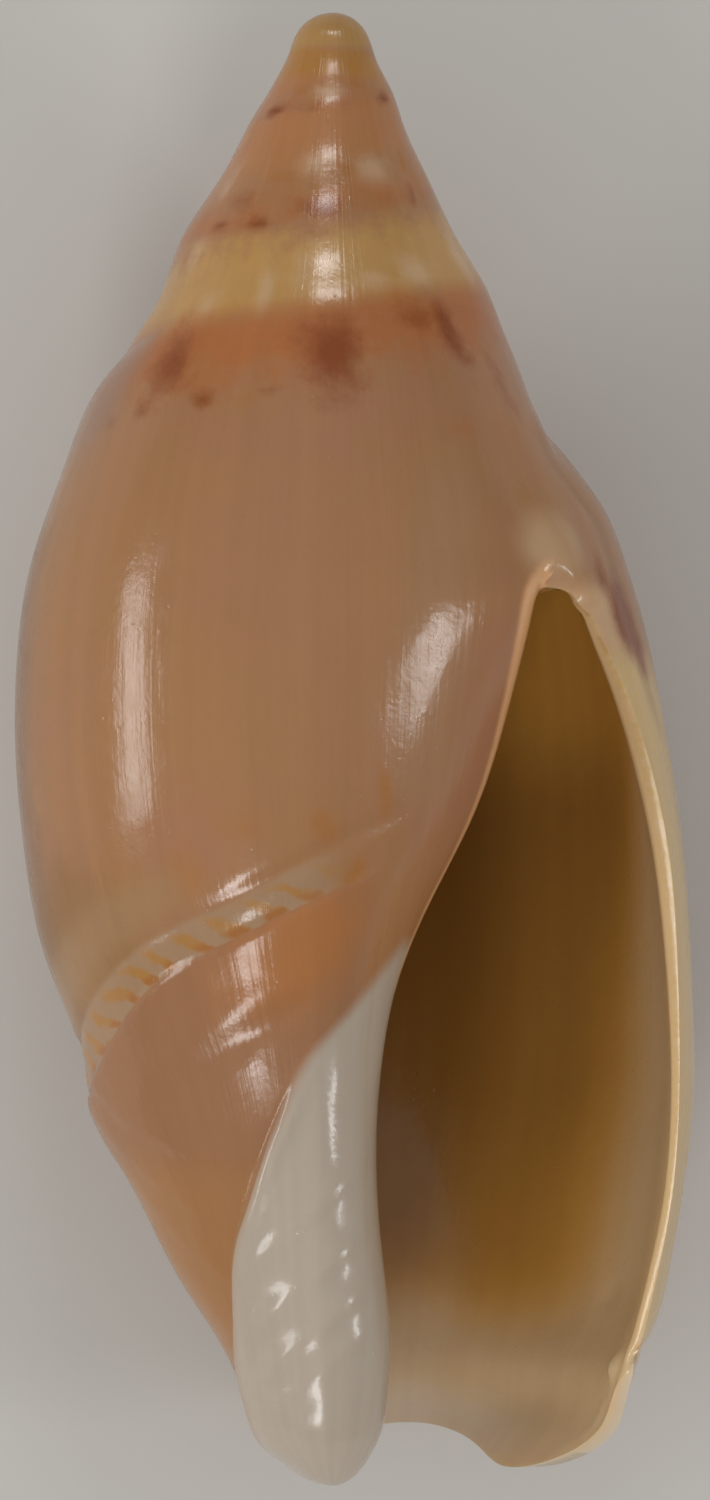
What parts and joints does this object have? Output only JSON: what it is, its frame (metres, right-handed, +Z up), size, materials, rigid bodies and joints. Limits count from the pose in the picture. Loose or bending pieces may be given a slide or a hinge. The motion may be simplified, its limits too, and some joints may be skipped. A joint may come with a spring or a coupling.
{
  "type": "spindle-shaped sea snail shell",
  "caption": "Glossy spindle-shaped sea snail shell with a smooth pointed spire and a long open mouth, lying on its back.",
  "frame": {"origin": "centre of the footprint, on the surface that the shell rests on", "axes": "+Y along the coiling axis towards the apex, +Z up out of the opening, +X towards the outer lip"},
  "size_m": [0.0166, 0.036, 0.0139],
  "materials": {
    "shell": "polished natural porcelain-like shell"
  },
  "bodies": {
    "root": {"shell": "shell"}
  },
  "joints": []
}
